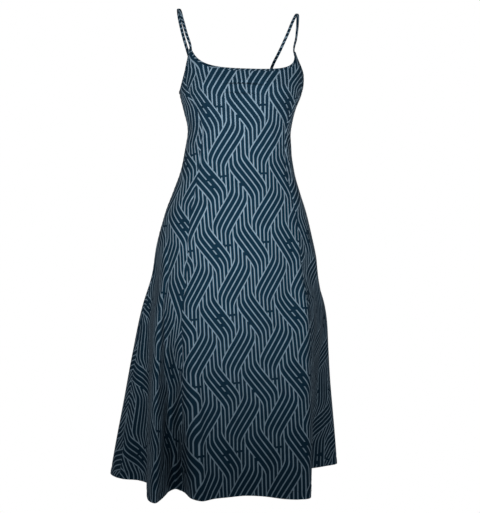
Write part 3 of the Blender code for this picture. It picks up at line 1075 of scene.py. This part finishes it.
# %% [markdown]
# ## The straps
#
# Each strap is a narrow tube, sewn and turned so that its seam is hidden, and pressed flat. It
# could be a curve with a bevel, but a swept section lets it lie flat on the chest, over the
# shoulder and on the back, and lets both ends pass behind the binding, where they are sewn.

# %% Tubes over the shoulders
STRAP_SIDES = 16
STRAP_TAIL = 0.012
STRAP_STEP = 0.0022
STRAP_SQUARE = 0.75
STRAP_WALL = 0.0005
STRAP_PRINT_STEP = 0.021
STRAP_INSET = (0.0002, 0.0001)  # at the edges, at the faces
PRESSED = ((0.05, 0.012), (0.03, 0.004))  # share, length of its waves
BEHIND_BINDING = (0.0022, 0.0030)  # at the joint, at the end of the tail
ENDS = [
    # joint, its height, way along the strap
    (FRONT_JOINT, FRONT_JOINT_Z, 1),
    (BACK_JOINT, BACK_JOINT_Z, -1),
]
STRAP_ROUTE = np.array([
    # x, y, z
    (0.1372, -0.054, -0.070),
    (0.1450, -0.035, -0.030),
    (0.1492, -0.018, -0.0045),
    (0.1505, 0.000, 0.0015),
    (0.1475, 0.020, -0.0075),
    (0.1370, 0.044, -0.040),
    (0.1215, 0.068, -0.080),
    (0.1060, 0.087, -0.116),
])


def cubic_line(at, places, points):
    """A smooth line through points at the places."""
    return np.stack([cubic(at, places, points[:, k]) for k in range(3)], axis=1)


def strap_line(side):
    """Middle of a strap at even steps, and the way that its flat side faces across."""
    tails, ways = [], []
    for joint, z, turn in ENDS:
        angle = side * joint
        inward = -normals(np.array([angle]), np.array([z - JUST_BELOW]))[0]
        places = surface(angle, z), surface(angle, z - STRAP_TAIL)
        tails.append([place + inward * behind for place, behind in zip(places, BEHIND_BINDING)])
        ways.append(unit(surface(angle + 0.01, z) - surface(angle - 0.01, z)) * turn)
    route = np.concatenate([tails[0][::-1], STRAP_ROUTE * (side, 1, 1), tails[1]])
    run = distances(route)
    at = np.linspace(0, run[-1], int(run[-1] / STRAP_STEP))
    ways = np.array([ways[0], (1.0, 0.0, 0.0), ways[1]])
    across = cubic_line(at / run[-1], np.array([0.0, 0.5, 1.0]), ways)
    return cubic_line(at, run, route), across, at


def squarish(wave):
    """A sine or cosine made flatter, so that a round section turns into a flat one."""
    return np.sign(wave) * np.abs(wave) ** STRAP_SQUARE


def strap(name, side, seed):
    """A flat tube of the printed cloth."""
    line, across, at = strap_line(side)
    along = smoothed(unit(np.gradient(line, axis=0)), 4)
    across = unit(across - along * (across * along).sum(axis=-1, keepdims=True))
    out = np.cross(along, across)
    turn = 2 * math.pi * (np.arange(STRAP_SIDES) + 0.5) / STRAP_SIDES
    wide, thick = squarish(np.cos(turn)), squarish(np.sin(turn))
    pressed = 1.0
    for more, (share, wave) in enumerate(PRESSED):
        pressed = pressed + share * waver(at / wave, 0.0, seed + more)
    rings = []
    for less in (0.0, STRAP_WALL):
        half_wide = (STRAP_WIDE / 2 - STRAP_INSET[0] - less) * (0.98 + 0.02 * pressed)
        half_thick = (STRAP_THICK / 2 - STRAP_INSET[1] - less) * pressed
        ring = line[:, None] + across[:, None] * (wide[None, :] * half_wide[:, None])[..., None]
        rings.append(ring + out[:, None] * (thick[None, :] * half_thick[:, None])[..., None])
    outer, inner = [ring[:, ::-1] for ring in rings]
    *round_at, girth = distances(np.concatenate([outer[20], outer[20, :1]]))
    round_at = np.minimum(round_at, girth - np.array(round_at))
    uv = on_bias(at[:, None], round_at[None, :], STRAP_PRINT_STEP * seed)
    piece = cloth_piece(name + "_cloth", outer, inner, uv, uv, [shaded_bias_cloth], closed=True)
    print(f"{name}: {at[-1]:.3f} m long, {girth / MM:.1f} mm round, one side {one_side(piece):.5f} m2")
    return piece


STRAPS = {
    # name: (side, seed)
    "strap_right": (1, 11),
    "strap_left": (-1, 14),
}
for name, (side, seed) in STRAPS.items():
    pieces[name] = strap(name, side, seed)

# %% [markdown]
# ## Stitches
#
# A row of stitches is one short length of thread, repeated at an even step along a line. Geometry
# Nodes do this well: the line is a few points joined by edges, the tree turns it into a curve,
# sets a stitch at each step, turned along the line, and makes the lot real. Its inputs are
# named for the machine's own settings.


# %% The stitching tree
BINDING_STITCH = {"Stitch step": 0.0031, "Stitch length": 0.0025, "Thread thickness": 0.00042}
HEM_STITCH = {"Stitch step": 0.0033, "Stitch length": 0.0026, "Thread thickness": 0.00042}
UNEVENNESS = 0.12


def stitching_tree(thread):
    """A tree that sews a row of stitches along a line."""
    tree = bpy.data.node_groups.new("row of stitches", "GeometryNodeTree")
    face = tree.interface
    face.new_socket("Line", in_out="INPUT", socket_type="NodeSocketGeometry")
    sizes = {}
    for label, value in {**BINDING_STITCH, "Unevenness": UNEVENNESS}.items():
        sizes[label] = face.new_socket(label, in_out="INPUT", socket_type="NodeSocketFloat")
        sizes[label].default_value = value
    sizes["Seed"] = face.new_socket("Seed", in_out="INPUT", socket_type="NodeSocketInt")
    face.new_socket("Stitches", in_out="OUTPUT", socket_type="NodeSocketGeometry")

    def node(kind, settings=None, values=None):
        return add_node(tree, kind, settings, values)

    start = node("NodeGroupInput")
    line = node("GeometryNodeMeshToCurve", None, {"Mesh": start.outputs["Line"]})
    steps = node("GeometryNodeResampleCurve", {"mode": "LENGTH"},
                 {"Curve": line.outputs["Curve"], "Length": start.outputs["Stitch step"]})
    ball = node("GeometryNodeMeshUVSphere", None, {"Segments": 6, "Rings": 4, "Radius": 0.5})
    shape = node("ShaderNodeCombineXYZ", None, {
        "X": start.outputs["Thread thickness"], "Y": start.outputs["Thread thickness"],
        "Z": start.outputs["Stitch length"]})
    way = node("GeometryNodeInputTangent")
    turn = node("FunctionNodeAlignRotationToVector", {"axis": "Z"}, {"Vector": way.outputs["Tangent"]})
    uneven = node("ShaderNodeMath", {"operation": "MULTIPLY"}, {0: start.outputs["Unevenness"], 1: -1.0})
    wobble = node("FunctionNodeRandomValue", {"data_type": "FLOAT"}, {
        2: uneven.outputs[0], 3: start.outputs["Unevenness"], "Seed": start.outputs["Seed"]})
    lean = node("FunctionNodeAxisAngleToRotation", None, {
        "Axis": (1.0, 0.3, 0.0), "Angle": wobble.outputs[1]})
    both = node("FunctionNodeRotateRotation", {"rotation_space": "LOCAL"}, {
        "Rotation": turn.outputs["Rotation"], "Rotate By": lean.outputs["Rotation"]})
    placed = node("GeometryNodeInstanceOnPoints", None, {
        "Points": steps.outputs["Curve"], "Instance": ball.outputs["Mesh"],
        "Rotation": both.outputs["Rotation"], "Scale": shape.outputs["Vector"]})
    real = node("GeometryNodeRealizeInstances", None, {"Geometry": placed.outputs["Instances"]})
    dyed = node("GeometryNodeSetMaterial", None, {"Geometry": real.outputs["Geometry"], "Material": thread})
    node("NodeGroupOutput", None, {"Stitches": dyed.outputs["Geometry"]})
    return tree, {label: socket.identifier for label, socket in sizes.items()}


tree, tree_inputs = stitching_tree(sewing_thread)


def stitches(name, lines, sizes):
    """Stitches along some lines, as one plain mesh."""
    points, edges = [], []
    for line in lines:
        first = len(points)
        points.extend(line.tolist())
        edges.extend((first + i, first + i + 1) for i in range(len(line) - 1))
    mesh = bpy.data.meshes.new(name + " line")
    mesh.from_pydata(points, edges, [])
    guide = bpy.data.objects.new(name, mesh)
    scene.collection.objects.link(guide)
    modifier = guide.modifiers.new("stitches", "NODES")
    modifier.node_group = tree
    for label, value in sizes.items():
        modifier[tree_inputs[label]] = value
    done = guide.evaluated_get(bpy.context.evaluated_depsgraph_get())
    plain = bpy.data.meshes.new_from_object(done)
    guide.modifiers.clear()
    guide.data = plain
    bpy.data.meshes.remove(mesh)
    plain.name = name
    plain.shade_smooth()
    print(f"{name}: {len(plain.polygons)} faces")
    return guide


# %% Rows along the bindings and the hem
STITCHES_DOWN = 0.0042
STITCHES_OUT = 0.00132
HEM_POINTS = 900
HEM_FACES = (CLOTH / 2 - 0.00035, -CLOTH / 2 - 0.0010)

sewn_on = {name: [] for name in pieces}
for seed, (name, (start, end)) in enumerate(BINDINGS.items()):
    points, down, out, run = edge_frame(start, end)
    rows = [points + down * STITCHES_DOWN + out * STITCHES_OUT * face for face in (1, -1)]
    sewn_on[name].append(stitches(name + "_stitches", rows, {**BINDING_STITCH, "Seed": seed + 1}))

for seed, name in enumerate(PANELS):
    angle = columns_at(name, HEM_Z + HEM_TURN)
    fine = np.interp(np.linspace(0, 1, HEM_POINTS), np.linspace(0, 1, len(angle)), angle)[4:-4]
    z = np.full_like(fine, HEM_Z + HEM_TURN - 0.001)
    middle, out = surface(fine, z), normals(fine, z)
    rows = [middle + out * away for away in HEM_FACES]
    sewn_on[name].append(stitches(name + "_hem_stitches", rows, {**HEM_STITCH, "Seed": seed + 21}))

# %% [markdown]
# ## Putting the pieces on the body
#
# Every piece rides on the one body of the part and stands for its plain wall, which is hidden. Its rows of
# stitches ride on the same body.

# %% Pieces on the body, in place of their walls
for name, piece in pieces.items():
    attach(piece, "root")
    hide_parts(name)
    for row in sewn_on[name]:
        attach(row, "root")

# %% [markdown]
# ## Floor and backdrop
#
# The dress hangs over a plain pale floor, at the height of a wearer's feet. The photograph has
# plain white all round the dress, so the backdrop is white paper, lit by itself as in a studio.
# It is a wide dome, so it is white from every side. Neither sends light of its own onto the
# dress. A white world would look the same, but it would light the dress far too brightly.

# %% Floor and backdrop
FLOOR_Z = -1.42
FLOOR_RADIUS = 0.60
DOME_RADIUS = 25.0
DOME_RINGS = 24
SIDES = 96


def studio_paper(name, grey, glow):
    """Plain paper with a light of its own."""
    return Shader(name).finished({
        "Base Color": (grey, grey, grey, 1.0), "Roughness": 0.9, "Specular IOR Level": 0.0,
        "Emission Color": (1.0, 1.0, 1.0, 1.0), "Emission Strength": glow})


def circle(radius, z):
    """Points round a level circle."""
    turns = np.linspace(0, 2 * math.pi, SIDES + 1)[:-1]
    return [(radius * math.cos(turn), radius * math.sin(turn), z) for turn in turns]


def studio_piece(name, points, faces, material):
    """A piece of the studio, seen by the camera alone. It isn't part of the dress."""
    mesh = bpy.data.meshes.new(name)
    mesh.from_pydata(points, [], faces)
    mesh.materials.append(material)
    piece = bpy.data.objects.new(name, mesh)
    scene.collection.objects.link(piece)
    piece.visible_diffuse = piece.visible_glossy = False
    piece.visible_transmission = piece.visible_shadow = False


studio_piece("studio floor", circle(FLOOR_RADIUS, FLOOR_Z), [tuple(range(SIDES))],
             studio_paper("pale floor", 0.85, 0.62))
points = []
for tilt in np.linspace(0.001, math.pi - 0.001, DOME_RINGS):
    points += circle(DOME_RADIUS * math.sin(tilt), DOME_RADIUS * math.cos(tilt))
faces = []
for low in range(0, (DOME_RINGS - 1) * SIDES, SIDES):
    high = low + SIDES
    faces += [(low + j, low + (j + 1) % SIDES, high + (j + 1) % SIDES, high + j) for j in range(SIDES)]
studio_piece("white paper dome", points, faces, studio_paper("white paper", 0.0, 1.0))
print("backdrop faces:", len(faces))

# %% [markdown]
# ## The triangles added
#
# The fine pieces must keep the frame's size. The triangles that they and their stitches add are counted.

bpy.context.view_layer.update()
made = list(pieces.values()) + [row for rows in sewn_on.values() for row in rows]
print("triangles added:", sum(len(face.vertices) - 2 for piece in made for face in piece.data.polygons))
